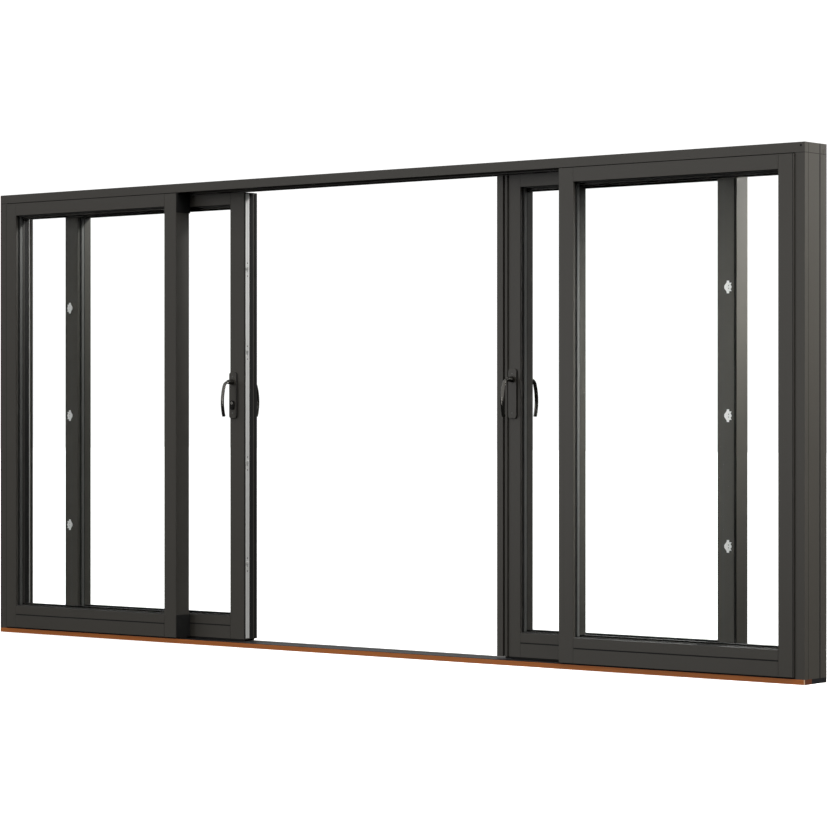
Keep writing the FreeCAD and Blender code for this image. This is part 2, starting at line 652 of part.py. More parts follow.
def make_lever(name, x, y, turned, spindle_length=None):
    """A lever handle: a conical neck with a round end, then a bent and bowed oval grip."""
    body = new_body(name)

    # Half outline of the neck, turned about its own axis
    neck = new_sketch(body, name + "_neck_outline", "YZ_Plane")
    far = -size.neck_straight
    root = neck.addGeometry(Part.LineSegment(
        FreeCAD.Vector(0, 0, 0), FreeCAD.Vector(0, size.neck_radius.value, 0)), False)
    taper = neck.addGeometry(Part.LineSegment(
        FreeCAD.Vector(0, size.neck_radius.value, 0),
        FreeCAD.Vector(far.value, size.knuckle_radius.value, 0)), False)
    knuckle = arc(neck, (far.value, 0), size.knuckle_radius.value, 90, 180)
    axis = neck.addGeometry(Part.LineSegment(
        FreeCAD.Vector(far.value - size.knuckle_radius.value, 0, 0), FreeCAD.Vector(0, 0, 0)), False)
    for line, following in ((root, taper), (taper, knuckle), (knuckle, axis), (axis, root)):
        neck.addConstraint(Sketcher.Constraint("Coincident", line, 2, following, 1))
    neck.addConstraint(Sketcher.Constraint("Coincident", root, 1, -1, 1))
    pin(neck, taper, 1, 0, size.neck_radius)
    pin(neck, knuckle, 1, far, size.knuckle_radius)
    pin(neck, knuckle, 3, far, 0)
    neck.addConstraint(Sketcher.Constraint("PointOnObject", axis, 1, -1))
    turning = body.newObject("PartDesign::Revolution", name + "_neck")
    turning.Profile = neck
    turning.ReferenceAxis = (neck, ["H_Axis"])
    turning.Angle = 360

    # Middle line of the grip: straight out, a tight bend down, then a long outward bow
    route = new_sketch(body, name + "_route", "YZ_Plane")
    straight, bend, bow = size.neck_straight.value, size.bend_radius.value, size.bow_radius.value
    tangent = FreeCAD.Vector(0, bend - size.shoulder_drop.value, 0)
    tangent.x = -(bend ** 2 - tangent.y ** 2) ** 0.5
    shoulder = FreeCAD.Vector(-straight, -bend, 0) + tangent
    bow_centre = shoulder - tangent * (bow / bend)
    tip_drop = -size.lever_length.value - bow_centre.y
    tip = FreeCAD.Vector(bow_centre.x - (bow ** 2 - tip_drop ** 2) ** 0.5, -size.lever_length.value, 0)
    top = FreeCAD.Vector(-straight, 0, 0)
    halfway = (tangent + FreeCAD.Vector(0, bend, 0)).normalize() * bend
    bend_middle = FreeCAD.Vector(-straight, -bend, 0) + halfway
    run = route.addGeometry(Part.LineSegment(FreeCAD.Vector(0, 0, 0), top), False)
    bend_arc = route.addGeometry(Part.Arc(top, bend_middle, shoulder), False)
    bow_arc = route.addGeometry(Part.Arc(shoulder, bow_centre - FreeCAD.Vector(bow, 0, 0), tip), False)
    route.addConstraint(Sketcher.Constraint("Coincident", run, 1, -1, 1))
    pin(route, run, 2, -size.neck_straight, 0)
    route.addConstraint(Sketcher.Constraint("Tangent", run, 2, bend_arc, 1))
    route.addConstraint(Sketcher.Constraint("Tangent", bend_arc, 2, bow_arc, 1))
    hold(route, "Radius", size.bend_radius, bend_arc)
    hold(route, "Radius", size.bow_radius, bow_arc)
    hold(route, "DistanceY", -size.shoulder_drop, -1, 1, bend_arc, 2)
    hold(route, "DistanceY", -size.lever_length, -1, 1, bow_arc, 2)

    section = new_sketch(body, name + "_grip_section", "XZ_Plane")
    wide, thick = size.grip_width.value / 2, size.grip_thickness.value / 2
    oval = section.addGeometry(Part.Ellipse(
        FreeCAD.Vector(wide, 0, 0), FreeCAD.Vector(0, thick, 0), FreeCAD.Vector(0, 0, 0)), False)
    section.exposeInternalGeometry(oval)
    section.addConstraint(Sketcher.Constraint("Coincident", oval, 3, -1, 1))
    long_axis, short_axis = oval + 1, oval + 2
    section.addConstraint(Sketcher.Constraint("Horizontal", long_axis))
    hold(section, "Distance", size.grip_width, long_axis)
    hold(section, "Distance", size.grip_thickness, short_axis)
    grip = body.newObject("PartDesign::AdditivePipe", name + "_grip")
    grip.Profile = section
    grip.Spine = route
    document.recompute()
    near_tip = size.grip_thickness.value - size.lever_length.value
    round_edges(body, name + "_tip", grip, size.tip_rounding, lambda edge: edge.BoundBox.ZMax < near_tip)
    if spindle_length is not None:
        square = new_sketch(body, name + "_spindle_section", "XZ_Plane")
        half = size.spindle_side / 2
        outline(square, rectangle(-half, half, -half, half))
        pad(body, name + "_spindle", square, spindle_length, backwards=True)
    place(body, x, y, size.pivot_height, turned)
    return body


def make_handles(name, x):
    """Outside and inside plate and lever, on one square spindle that the outside lever carries."""
    nodes.append(group(name + "_handle_plates", [
        make_plate(name + "_outside_plate", x, leaf_front, False),
        make_plate(name + "_inside_plate", x, leaf_back, True)]))
    spindle_length = size.panel_thickness + lever_start * 2
    nodes.append(make_lever(name + "_outside_lever", x, leaf_front - lever_start, False, spindle_length))
    nodes.append(make_lever(name + "_inside_lever", x, leaf_back + lever_start, True))


def make_key_cylinder():
    """Oval key cylinder with its round plug, on the left leaf's outside plate."""
    body = new_body("left_leaf_key_cylinder")
    sketch = new_sketch(body, "key_cylinder_outline", "XZ_Plane")
    radius = size.cylinder_width / 2
    straight = size.cylinder_length / 2 - radius
    wide, tall = radius.value, straight.value
    right = sketch.addGeometry(Part.LineSegment(
        FreeCAD.Vector(wide, -tall, 0), FreeCAD.Vector(wide, tall, 0)), False)
    over = arc(sketch, (0, tall), wide, 0, 180)
    left = sketch.addGeometry(Part.LineSegment(
        FreeCAD.Vector(-wide, tall, 0), FreeCAD.Vector(-wide, -tall, 0)), False)
    under = arc(sketch, (0, -tall), wide, 180, 360)
    for line, following in ((right, over), (over, left), (left, under), (under, right)):
        sketch.addConstraint(Sketcher.Constraint("Coincident", line, 2, following, 1))
    pin(sketch, right, 1, radius, -straight)
    pin(sketch, right, 2, radius, straight)
    pin(sketch, left, 1, -radius, straight)
    pin(sketch, left, 2, -radius, -straight)
    hold(sketch, "DistanceY", straight, -1, 1, over, 3)
    hold(sketch, "DistanceY", -straight, -1, 1, under, 3)
    pad(body, "key_cylinder_oval", sketch, size.cylinder_proud)
    ring = new_sketch(body, "key_cylinder_plug_ring", "XZ_Plane")
    circle(ring, 0, straight, size.plug_radius)
    pad(body, "key_cylinder_plug", ring, size.cylinder_proud + size.plug_proud)
    place(body, -left_edge - size.left_backset, leaf_front - size.plate_thickness,
          size.pivot_height - size.cylinder_drop)
    nodes.append(body)


# Wedge blocks on the front of a leaf's outer stile
def make_wedges(name, side, edge):
    upper = [(size.wedge_width * across, size.wedge_length * up) for across, up in WEDGE_OUTLINE]
    lower = [(across, -up) for across, up in reversed(upper)]
    blocks = []
    for number, level in enumerate((size.wedge_low, size.wedge_mid, size.wedge_high), start=1):
        block = new_body(f"{name}_wedge_{number}")
        sketch = new_sketch(block, f"{name}_wedge_outline_{number}", "XZ_Plane")
        outline(sketch, handed(upper + lower, side))
        hole_x = size.wedge_hole * side
        circle(sketch, hole_x, size.wedge_hole_place, size.wedge_hole)
        circle(sketch, hole_x, -size.wedge_hole_place, size.wedge_hole)
        pad(block, f"{name}_wedge_plate_{number}", sketch, size.wedge_thickness)
        place(block, (edge + leaf_width - size.wedge_inset) * side, leaf_front, level)
        blocks.append(block)
    nodes.append(group(name + "_wedges", blocks))


# Sliding leaves
def make_leaf(name, side, edge, backset):
    """edge is how far the leaf's meeting edge stands from the middle of the door."""
    middle = size.panel_thickness / 2
    half_slot = size.slot_width / 2
    slot_roof = size.leaf_bottom + size.slot_depth
    slot = [(middle - half_slot, size.leaf_bottom), (middle - half_slot, slot_roof),
            (middle + half_slot, slot_roof), (middle + half_slot, size.leaf_bottom)]
    face = size.leaf_stile
    far = edge + leaf_width
    stile = make_stiles(name, side, (far, edge), (face, face), (stepped_edge(face), grooved_edge(face)),
                        leaf_front, size.leaf_bottom, leaf_top - size.leaf_bottom)
    make_rails_and_glass(name, side, edge + face, far - face, leaf_front,
                         (top_rail_corners(leaf_top), bottom_rail_corners(size.leaf_bottom, slot)))
    bore = new_sketch(stile, name + "_spindle_bore_ring", "XZ_Plane")
    circle(bore, (face - backset) * -side, size.pivot_height - size.leaf_bottom, size.spindle_bore / 2)
    pocket(stile, name + "_spindle_bore", bore)
    make_running_gear(name, side, edge)
    make_handles(name, (edge + backset) * side)
    make_wedges(name, side, edge)


# Strips let into the meeting edges
def make_edge_strip(name, side, edge):
    """A plain strip that fills the groove in a meeting edge."""
    return upright(name, handed(rectangle(0, size.faceplate_thickness, 0, size.faceplate_width), side),
                   edge * side, leaf_front + size.faceplate_place, strip_bottom, strip_length)


def make_lock_strip():
    """Four hooks that bend downwards, each with a round hole in the strip below it."""
    strip = make_edge_strip("left_leaf_lock_strip", LEFT, left_edge)
    middle = size.faceplate_width / 2
    hooks = new_sketch(strip, "hooks_outline", "XZ_Plane", -middle - size.hook_width / 2)
    holes = new_sketch(strip, "pilot_holes_outline", "YZ_Plane")
    for up in hook_places:
        outline(hooks, [
            (0, up - size.hook_root), (0, up + size.hook_rise), (size.hook_proud, up + size.hook_rise / 2),
            (size.hook_proud, up - size.hook_drop), (size.hook_throat, up - size.hook_drop),
            (size.hook_throat, up - size.hook_root),
        ])
        circle(holes, middle, up - size.pilot_drop, size.pilot_radius)
    pad(strip, "hooks", hooks, size.hook_width)
    pocket(strip, "pilot_holes", holes)
    nodes.append(strip)


def make_strike_strip():
    """Four slots that take the hooks."""
    strip = make_edge_strip("right_leaf_strike_strip", RIGHT, right_edge)
    slots = new_sketch(strip, "strike_slots_outline", "YZ_Plane")
    half = size.hook_width / 2 + size.strike_clearance
    middle = size.faceplate_width / 2
    for up in hook_places:
        outline(slots, rectangle(middle - half, middle + half, up - size.hook_drop - size.strike_clearance,
                                 up + size.hook_rise + size.strike_clearance))
    pocket(strip, "strike_slots", slots)
    nodes.append(strip)


def make_meeting_cover():
    """Cover on the right leaf's meeting edge, which laps over the left leaf when both are shut."""
    face = size.cover_clearance + size.cover_thickness
    rib_start = size.cover_stem + size.cover_channel
    rib_end = rib_start + size.cover_rib
    nodes.append(upright("right_leaf_meeting_cover", [
        (-size.cover_reach, -face), (size.cover_stem, -face), (size.cover_stem, -size.cover_base),
        (rib_start, -size.cover_base), (rib_start, -size.cover_rib_height),
        (rib_end - size.cover_bevel, -size.cover_rib_height),
        (rib_end, -size.cover_rib_height + size.cover_bevel), (rib_end, 0), (0, 0),
        (0, -size.cover_clearance), (-size.cover_reach, -size.cover_clearance),
    ], right_edge, leaf_front, size.leaf_bottom, leaf_top - size.leaf_bottom))


make_sill()
make_head()
nodes.append(group("jamb_liners", [make_jamb("left", LEFT), make_jamb("right", RIGHT)]))
seats = make_fixed_panel("left_fixed", LEFT) + make_fixed_panel("right_fixed", RIGHT)
nodes.append(group("fixed_seats", seats))
make_leaf("left_leaf", LEFT, left_edge, size.left_backset)
make_leaf("right_leaf", RIGHT, right_edge, size.right_backset)
make_lock_strip()
make_strike_strip()
make_key_cylinder()
make_meeting_cover()
document.recompute()

faults = [thing.Name for thing in document.Objects if "Invalid" in thing.State or "Error" in thing.State]
faults += [node.Label for node in nodes if node.Shape.isNull() or not node.Shape.isValid()]
if faults:
    raise SystemExit("pieces that failed: " + ", ".join(faults))

os.makedirs("parts", exist_ok=True)
for node in nodes:
    node.Shape.exportStep(f"parts/{node.Label}.step")
print(len(nodes), "nodes written")
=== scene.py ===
import math

import bmesh
import bpy
from mathutils import Matrix, Vector


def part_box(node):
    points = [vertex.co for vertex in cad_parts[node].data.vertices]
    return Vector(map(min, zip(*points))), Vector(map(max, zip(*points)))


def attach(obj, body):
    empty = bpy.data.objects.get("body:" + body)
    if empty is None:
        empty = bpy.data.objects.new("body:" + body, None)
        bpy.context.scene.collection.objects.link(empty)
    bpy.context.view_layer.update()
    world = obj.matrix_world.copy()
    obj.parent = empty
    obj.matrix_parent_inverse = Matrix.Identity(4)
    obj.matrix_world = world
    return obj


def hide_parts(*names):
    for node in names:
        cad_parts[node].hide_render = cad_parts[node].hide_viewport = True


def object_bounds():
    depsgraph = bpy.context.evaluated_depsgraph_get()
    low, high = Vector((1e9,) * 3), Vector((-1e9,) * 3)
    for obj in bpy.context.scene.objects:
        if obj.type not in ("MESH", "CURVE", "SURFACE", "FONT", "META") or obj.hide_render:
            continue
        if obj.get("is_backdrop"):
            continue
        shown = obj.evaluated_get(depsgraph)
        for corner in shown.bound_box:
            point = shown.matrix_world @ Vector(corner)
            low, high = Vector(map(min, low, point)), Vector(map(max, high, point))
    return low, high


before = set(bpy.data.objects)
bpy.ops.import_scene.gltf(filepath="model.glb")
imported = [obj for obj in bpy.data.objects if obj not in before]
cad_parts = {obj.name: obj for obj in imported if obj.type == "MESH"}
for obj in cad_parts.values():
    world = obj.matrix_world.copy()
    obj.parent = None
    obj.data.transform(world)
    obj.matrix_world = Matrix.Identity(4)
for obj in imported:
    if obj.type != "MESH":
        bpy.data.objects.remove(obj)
cad_low, cad_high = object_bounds()

# Camera and stage. The door is seen from outdoors, well to its right and at half its height,
# through a long lens. It stands on a plain pale floor in soft light from above, and small lights
# behind it bring out its pale strips.
CAMERA_PLACE = (8.3362, -9.8907, 1.0334)
CAMERA_YAW = math.radians(39.289)
IMAGE_SIDE = 828
FOCAL_PIXELS = 2995.1
HORIZON_BELOW_MIDDLE = 1.04
SENSOR = 36.0
FAR_LIMIT = 200.0
CLEAR_LAYERS = 40

camera_data = bpy.data.cameras.new("camera")
camera_data.sensor_width = SENSOR
camera_data.lens = SENSOR * FOCAL_PIXELS / IMAGE_SIDE
camera_data.shift_y = HORIZON_BELOW_MIDDLE / IMAGE_SIDE
camera_data.clip_end = FAR_LIMIT
camera = bpy.data.objects.new("camera", camera_data)
camera.location = CAMERA_PLACE
camera.rotation_euler = (math.radians(90), 0, CAMERA_YAW)
scene = bpy.context.scene
scene.collection.objects.link(camera)
scene.camera = camera
scene.view_settings.view_transform = "Standard"
scene.cycles.transparent_max_bounces = CLEAR_LAYERS


class Field:
    """A shader value. Sums and products of such values add the Math nodes for them."""

    def __init__(self, owner, socket):
        self.owner = owner
        self.socket = socket

    def maths(self, operation, first, second):
        return self.owner.node("Math", {"operation": operation}, _0=first, _1=second)

    def __add__(self, other):
        return self.maths("ADD", self, other)

    __radd__ = __add__

    def __sub__(self, other):
        return self.maths("SUBTRACT", self, other)

    def __rsub__(self, other):
        return self.maths("SUBTRACT", other, self)

    def __mul__(self, other):
        return self.maths("MULTIPLY", self, other)

    __rmul__ = __mul__

    def __lt__(self, other):
        return self.maths("LESS_THAN", self, other)

    def __gt__(self, other):
        return self.maths("GREATER_THAN", self, other)

    def __abs__(self):
        return self.maths("ABSOLUTE", self, 0.0)


class Nodes:
    """A tree of shader nodes. A socket is given by its name, or by its number as in _0."""

    def __init__(self, tree):
        self.tree = tree

    def feed(self, made, inputs):
        """Gives the sockets of a node their values or links."""
        for key, value in inputs.items():
            socket = made.inputs[int(key[1:])] if key[0] == "_" else made.inputs[key.replace("_", " ")]
            if isinstance(value, Field):
                self.tree.links.new(value.socket, socket)
            elif isinstance(socket.default_value, float):
                socket.default_value = value
            else:
                socket.default_value = (*value, 1.0)[:len(socket.default_value)]

    def node(self, kind, settings=None, output=0, **inputs):
        """Adds a node: its settings first, then the values or links of its sockets."""
        made = self.tree.nodes.new("ShaderNode" + kind)
        for key, value in (settings or {}).items():
            setattr(made, key, value)
        self.feed(made, inputs)
        return Field(self, made.outputs[output])


class Finish(Nodes):
    """A material with its shader."""

    def __init__(self, name, **shader):
        self.material = bpy.data.materials.new(name)
        self.material.use_nodes = True
        super().__init__(self.material.node_tree)
        self.shader = self.tree.nodes["Principled BSDF"]
        self.feed(self.shader, shader)

    def place(self):
        """The object coordinates."""
        return self.node("TexCoord", output=3)

    def axis(self, number):
        return self.node("SeparateXYZ", output=number, Vector=self.place())

    def aside(self):
        """How far a point lies from the middle of the door, to either side."""
        return abs(self.axis(0))

    def facing(self, number):
        """How much a face looks along an axis."""
        return self.node("SeparateXYZ", output=number, Vector=self.node("NewGeometry", output=1))

    def sideways(self):
        """A mask for the faces that look to the left or the right."""
        return abs(self.facing(0)) > 0.6

    def stretched(self, scale):
        """The object coordinates, scaled along each axis."""
        return self.node("Mapping", Vector=self.place(), Scale=scale)

    def noise(self, vector, scale, detail=2.0, roughness=0.5):
        return self.node("TexNoise", Vector=vector, Scale=scale, Detail=detail, Roughness=roughness)

    def mixed(self, factor, first, second):
        """A colour between two, by a factor."""
        return self.node("Mix", {"data_type": "RGBA"}, output=2, _0=factor, _6=first, _7=second)

    def bump(self, height, distance):
        return self.node("Bump", Height=height, Distance=distance, Strength=1.0)

    def finish(self, **shader):
        """Feeds the shader, and gives the material."""
        self.feed(self.shader, shader)
        return self.material


# heights from 0 straight down to 1 straight up, each with its brightness
SKY = ((0.0, 0.01), (0.505, 0.01), (0.58, 1.07), (0.75, 0.90), (1.0, 1.0))
RIGHT_SHADE = 0.4
WHITE_BACKDROP = 1.12

world = bpy.data.worlds.new("studio")
world.use_nodes = True
scene.world = world
sky = Nodes(world.node_tree)
sky.tree.nodes.clear()
around = sky.node("TexCoord")
tone = sky.node("ValToRGB", _0=sky.node("SeparateXYZ", output=2, Vector=around) * 0.5 + 0.5)
stops = tone.socket.node.color_ramp.elements
stops.remove(stops[1])
for height, brightness in SKY[1:]:
    stops.new(height)
for stop, (height, brightness) in zip(stops, SKY):
    stop.position = height
    stop.color = (brightness, brightness, brightness, 1.0)
rightward = sky.node("Math", {"operation": "MAXIMUM"}, _0=sky.node("SeparateXYZ", Vector=around), _1=0.0)
shaded = tone * (1.0 - rightward * rightward * RIGHT_SHADE)
seen = sky.node("LightPath")
backdrop = sky.node("Background", Color=(1.0, 1.0, 1.0),
                    Strength=sky.node("Mix", _0=seen, _2=shaded, _3=WHITE_BACKDROP))
sky.tree.links.new(backdrop.socket, sky.tree.nodes.new("ShaderNodeOutputWorld").inputs[0])


def soft_light(name, place, target, width, height, power, spread=180):
    """A flat rectangular lamp, aimed at a point. Its spread is the angle that it lights."""
    data = bpy.data.lights.new(name, "AREA")
    data.spread = math.radians(spread)
    data.shape = "RECTANGLE"
    data.size = width
    data.size_y = height
    data.energy = power
    light = bpy.data.objects.new(name, data)
    light.location = place
    light.rotation_euler = (Vector(target) - Vector(place)).to_track_quat("-Z", "Y").to_euler()
    light.visible_camera = False
    scene.collection.objects.link(light)


soft_light("high_back_light", (2.2, 1.5, 2.9), (1.87, 0.05, 1.4), 0.3, 0.3, 33, spread=44)
soft_light("middle_back_light", (1.2, 1.2, 3.0), (-0.744, 0.03, 1.9), 0.3, 0.3, 5.4, spread=70)
soft_light("right_light", (5.0, -0.35, 3.1), (2.24, 0.0, 1.2), 1.0, 1.0, 125)
soft_light("left_back_light", (-0.9, 1.0, 2.7), (-2.19, 0.04, 1.8), 0.2, 0.2, 2.1, spread=50)
soft_light("front_light", (-3.2, -7.0, 1.2), (-0.8, 0.0, 1.1), 0.9, 2.0, 48)

FLOOR_REACH = 60.0
floor_mesh = bmesh.new()
bmesh.ops.create_grid(floor_mesh, x_segments=1, y_segments=1, size=FLOOR_REACH)
floor_data = bpy.data.meshes.new("floor")
floor_mesh.to_mesh(floor_data)
floor_mesh.free()
floor = bpy.data.objects.new("floor", floor_data)
floor.visible_diffuse = False
floor.visible_glossy = False
scene.collection.objects.link(floor)
pale = Finish("pale_floor", Roughness=0.9, Emission_Strength=0.65)
unevenness = pale.noise(pale.place(), 1.2)
floor_data.materials.append(pale.finish(
    Base_Color=pale.mixed(unevenness, (0.93, 0.93, 0.93), (0.96, 0.96, 0.955)),
    Emission_Color=pale.mixed(unevenness, (0.98, 0.98, 0.98), (1.0, 1.0, 1.0))))
floor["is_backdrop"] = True


# Threshold. One long board of oiled hardwood along the front of the sill, planed all round,
# with the grain running along the door and the end grain showing at its right end. Its front
# corner there is painted pale, a painted highlight where the corner catches the light.
CORNER_HIGHLIGHT_LENGTH = 0.0045
CORNER_HIGHLIGHT_FRONT = -0.0760


def dress(material, *nodes):
    """Gives CAD nodes their finish."""
    for node in nodes:
        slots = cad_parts[node].data.materials
        slots.clear()
        slots.append(material)


wood = Finish("oiled_wood", Coat_Weight=0.04, Coat_Roughness=0.3)
grain = wood.noise(wood.stretched((1.3, 70.0, 70.0)), 1.6, 5.0, 0.65)
rings = wood.noise(wood.stretched((0.5, 22.0, 22.0)), 1.3, 3.0, 0.5)
pores = wood.noise(wood.stretched((30.0, 900.0, 900.0)), 1.0, 2.0, 0.6)
end_face = abs(wood.facing(0)) > 0.5
# painted highlight: a pale band down the front corner at the right end
corner_highlight = (wood.axis(0) > cad_high.x - CORNER_HIGHLIGHT_LENGTH) * (wood.axis(1) < CORNER_HIGHLIGHT_FRONT)
board = wood.mixed(grain, (0.66, 0.200, 0.020), (0.32, 0.070, 0.008))
board = wood.mixed(rings * 0.6, board, (0.50, 0.150, 0.024))
board = wood.mixed(corner_highlight * 0.8, board, (0.95, 0.72, 0.46))
dress(wood.finish(
    Base_Color=wood.mixed(end_face, board, (0.11, 0.028, 0.006)),
    Roughness=0.42 + grain * 0.15,
    Normal=wood.bump(grain + pores * 0.5, 0.0003)), "threshold")

# Sill. A dark anodised aluminium section behind the wood, its thin nose plate over the wood,
# and a polished steel rail for the rollers, all drawn lengthways.
metal = Finish("sill_metal", Metallic=0.1, Specular_IOR_Level=0.15)
drawn = metal.noise(metal.stretched((1.5, 260.0, 260.0)), 2.0, 3.0)
blotch = metal.noise(metal.place(), 5.0, 3.0)
dress(metal.finish(
    Base_Color=metal.mixed(blotch, (0.012, 0.012, 0.013), (0.018, 0.018, 0.018)),
    Roughness=0.50 + drawn * 0.18,
    Normal=metal.bump(drawn, 0.00004)), "sill", "sill_nose")
rail_steel = Finish("rail_steel", Metallic=1.0)
drawn = rail_steel.noise(rail_steel.stretched((2.0, 500.0, 500.0)), 2.0, 3.0)
dress(rail_steel.finish(
    Base_Color=rail_steel.mixed(drawn, (0.16, 0.155, 0.15), (0.24, 0.235, 0.23)),
    Roughness=0.30 + drawn * 0.2,
    Normal=rail_steel.bump(drawn, 0.00003)), "running_rail")

# Head, jambs, stiles and rails. Extruded aluminium with a dark warm grey powder coat: satin,
# with a very fine grain and a faint unevenness in tone. Fine dark joints show where the
# profiles butt together, and painted shade darkens grooves, reveals, sides and ledges.
PAINT_LIGHT = (0.0580, 0.0530, 0.0435)
PAINT_DARK = (0.0505, 0.0460, 0.0380)
SATIN = 0.36
JOINT_AND_SHADE_TONE = (0.012, 0.011, 0.010)
LEDGE_SHADE_TONE = (0.016, 0.015, 0.014)
SIDE_SHADE = 0.3
JAMB_SHADE = 0.8
OUTER_SIDE = cad_high.x - 0.0006
JAMB_INSIDE = 2.2000
JAMB_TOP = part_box("right_jamb")[1].z
# each line has a place and a width across an axis
TOP_JOINT = (JAMB_TOP - 0.001, 0.0024)
# the grooves and the reveal below get bands of painted shade
JAMB_GROOVE = (0.030, 0.0078)
HEAD_GROOVE = (0.030, 0.0070)
HEAD_LINE = (-0.052, 0.0030)
REVEAL_SHADOW = (-0.018, 0.026)
RAIL_LINE = (0.0875, 0.0055)
PANEL_OUTSIDE = 2.1895
PANEL_REVEAL = 2.1265
PANEL_FRONT = -0.0862
FIXED_RAIL_FRONT = -0.0835
LEAF_RAIL_FRONT = 0.0105
PANELS = {"left_fixed": "frame", "right_fixed": "frame", "left_leaf": "left_leaf", "right_leaf": "right_leaf"}


def powder_coat(name, joint_and_shade=None, light=PAINT_LIGHT, dark=PAINT_DARK, roughness=SATIN,
                ledge_shade=False, shaded_sides=False, **shader):
    paint = Finish(name, **shader)
    speckle = paint.noise(paint.place(), 1400.0, 2.0, 0.6)
    ripple = paint.noise(paint.place(), 260.0, 1.0)
    cloud = paint.noise(paint.place(), 4.0, 3.0)
    colour = paint.mixed(cloud * 0.7 + speckle * 0.3, dark, light)
    dull = roughness + speckle * 0.10 + cloud * 0.04
    # dark seams, and bands of painted shade, are mixed towards one dark tone
    if joint_and_shade:
        joint_and_shade_mask = joint_and_shade(paint)
        colour = paint.mixed(joint_and_shade_mask, colour, JOINT_AND_SHADE_TONE)
        dull = dull + joint_and_shade_mask * 0.4
    # painted shade: faces that look sideways are mixed towards the dark tone
    if shaded_sides:
        colour = paint.mixed(paint.sideways() * SIDE_SHADE, colour, JOINT_AND_SHADE_TONE)
    # painted shade: faces that look up are darker, and rougher
    if ledge_shade:
        ledge_shade_mask = paint.facing(2) > 0.6
        colour = paint.mixed(ledge_shade_mask, colour, LEDGE_SHADE_TONE)
        dull = dull + ledge_shade_mask * 0.45
    return paint.finish(
        Base_Color=colour,
        Roughness=dull,
        Normal=paint.bump(speckle * 0.6 + ripple, 0.00012))


def line(paint, number, place, width):
    """A mask for a fine band across one axis, used for dark seams, for painted shade in grooves and for the
    line down the lock strips.
    """
    return abs(paint.axis(number) - place) < width / 2


def head_groove_shade(paint):
    """Painted shade in the grooves of the jambs, which go on up over the ends of the head."""
    return (paint.aside() > OUTER_SIDE) * (line(paint, 1, *HEAD_GROOVE) + line(paint, 1, *HEAD_LINE))


def jamb_joint_and_shade(paint):
    """The dark butt seam under the head, and painted shade in the wide outer groove and on the inner side."""
    return (line(paint, 2, *TOP_JOINT)
            + (paint.aside() > OUTER_SIDE) * line(paint, 1, *JAMB_GROOVE)
            + (paint.aside() < JAMB_INSIDE) * (paint.axis(1) > 0.0) * paint.sideways() * JAMB_SHADE)


def panel_shade(paint):
    """Painted shade on the front corner beside the jamb, and along the back of the reveal."""
    return ((paint.aside() > PANEL_OUTSIDE) * (paint.axis(1) < PANEL_FRONT)
            + (paint.aside() < PANEL_REVEAL) * line(paint, 1, *REVEAL_SHADOW) * paint.sideways())


# painted shade in the shadow-line groove across the front of each bottom rail
def fixed_rail_groove_shade(paint):
    return line(paint, 2, *RAIL_LINE) * (paint.axis(1) < FIXED_RAIL_FRONT)


def leaf_rail_groove_shade(paint):
    return line(paint, 2, *RAIL_LINE) * (paint.axis(1) < LEAF_RAIL_FRONT)


grey_paint = powder_coat("grey_paint")
dress(grey_paint, "left_leaf_outer_stile", "right_leaf_outer_stile", "right_leaf_meeting_cover",
      *(f"{panel}_top_rail" for panel in PANELS))
dress(powder_coat("head_paint", head_groove_shade), "head", "head_front_board", "head_back_board")
dress(powder_coat("jamb_paint", jamb_joint_and_shade), "left_jamb", "right_jamb")
dress(powder_coat("panel_paint", panel_shade, shaded_sides=True),
      "left_fixed_outer_stile", "right_fixed_outer_stile")
dress(powder_coat("stile_paint", shaded_sides=True), *(f"{panel}_inner_stile" for panel in PANELS))
dress(powder_coat("fixed_rail_paint", fixed_rail_groove_shade, ledge_shade=True),
      "left_fixed_bottom_rail", "right_fixed_bottom_rail")
dress(powder_coat("leaf_rail_paint", leaf_rail_groove_shade, ledge_shade=True),
      "left_leaf_bottom_rail", "right_leaf_bottom_rail")

# Plugs and seals of the frame. Painted plugs close the ends of the guide channel, and soft black
# strips fill the seam round the fixed panels. Black strips in the grooves of the jambs' outer
# sides darken them as painted shade, and a round cap hides a fixing screw in the head.
SIDES = {"left": -1, "right": 1}
FRAME_EDGE = cad_high.x
FRAME_FRONT = -0.079
# extents across the door on its right side, through it, and up
PLUG = ((FRAME_EDGE - 0.008, FRAME_EDGE - 0.0004), (0.0403, 0.0577), (JAMB_TOP, 2.0618))
SEAL_HEIGHT = (0.0205, JAMB_TOP - 0.0005)
WIDE_GROOVE_SHADE = ((FRAME_EDGE - 0.005, FRAME_EDGE - 0.0008), (0.0277, 0.0323), SEAL_HEIGHT)
FINE_GROOVE_SHADE = ((FRAME_EDGE - 0.0014, FRAME_EDGE - 0.0004), (-0.0529, -0.0511), SEAL_HEIGHT)
PANEL_SEAL = ((2.1936, 2.1955), (-0.0800, -0.0700), (0.028, 2.036))
CAP_PLACE = (2.222, FRAME_FRONT - 0.0003, 2.067)
CAP_RADIUS = 0.0046
CAP_RIM = 0.0008
CAP_DISH = 0.0002


def block(mesh, low, high):
    """A box between two corners."""
    low, high = Vector(low), Vector(high)
    size = Matrix.Diagonal((*(high - low), 1))
    return bmesh.ops.create_cube(mesh, size=1.0, matrix=Matrix.Translation((low + high) / 2) @ size)["verts"]


def soften(mesh, width, segments=2, edges=None):
    """Rounds the sharp edges of a shape."""
    bmesh.ops.bevel(mesh, geom=list(edges or mesh.edges), offset=width, offset_type="OFFSET",
                    segments=segments, profile=0.5, affect="EDGES", clamp_overlap=True, material=-1)


def strip(mesh, side, across, depth, height, rounding=0.0004):
    """An upright or lying strip with softened edges, on one side of the door."""
    low, high = sorted(value * side for value in across)
    edges = {edge for vert in block(mesh, (low, depth[0], height[0]), (high, depth[1], height[1]))
             for edge in vert.link_edges}
    soften(mesh, rounding, 2, edges)


